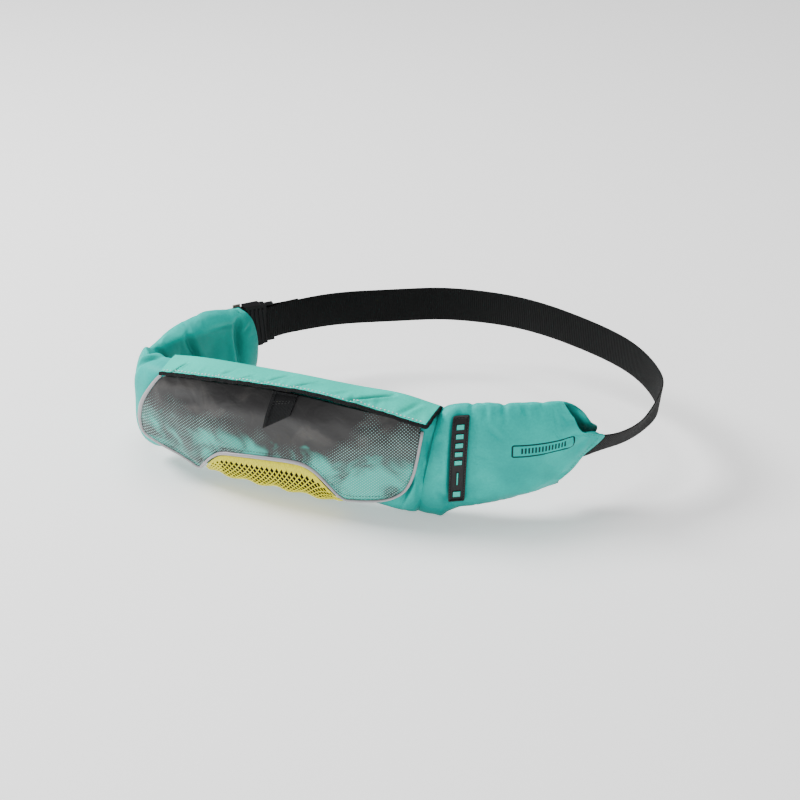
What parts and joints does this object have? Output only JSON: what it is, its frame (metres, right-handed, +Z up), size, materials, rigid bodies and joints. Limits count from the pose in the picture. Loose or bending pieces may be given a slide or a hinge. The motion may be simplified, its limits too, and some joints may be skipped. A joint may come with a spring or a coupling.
{
  "type": "inflatable belt pack",
  "caption": "Teal padded belt pack with a dark printed pocket panel, yellow net gusset, moulded label and a black webbing waist strap with a side-release buckle.",
  "frame": {"origin": "centre of the waist opening, at half the height of the webbing", "axes": "+X to the wearer's left (the label side), +Y towards the back, +Z up"},
  "size_m": [0.5172, 0.3592, 0.1344],
  "materials": {
    "coated_cloth_teal": "satin coated nylon",
    "flap_cloth_teal": "satin coated nylon",
    "printed_cloth_dark": "semi-gloss printed laminate",
    "reflective_piping": "smooth, slightly shiny",
    "yellow_net": "matt",
    "black_lining": "matt",
    "black_tape": "matt ribbed",
    "black_webbing": "matt ribbed",
    "moulded_rubber": "matt",
    "buckle_plastic": "satin",
    "light_tip": "satin"
  },
  "bodies": {
    "root": {"pouch_body": "coated_cloth_teal", "wing_right": "coated_cloth_teal", "wing_left": "coated_cloth_teal", "front_panel": "printed_cloth_dark", "net_gusset": "yellow_net", "pocket_lining": "black_lining", "panel_piping": "reflective_piping", "top_flap": "flap_cloth_teal", "flap_binding": "black_tape", "pull_tab": "black_tape", "label_patch": "moulded_rubber", "buckle_socket": "buckle_plastic", "buckle_plug": "buckle_plastic", "webbing_tip": "light_tip", "webbing": "black_webbing"}
  },
  "joints": []
}
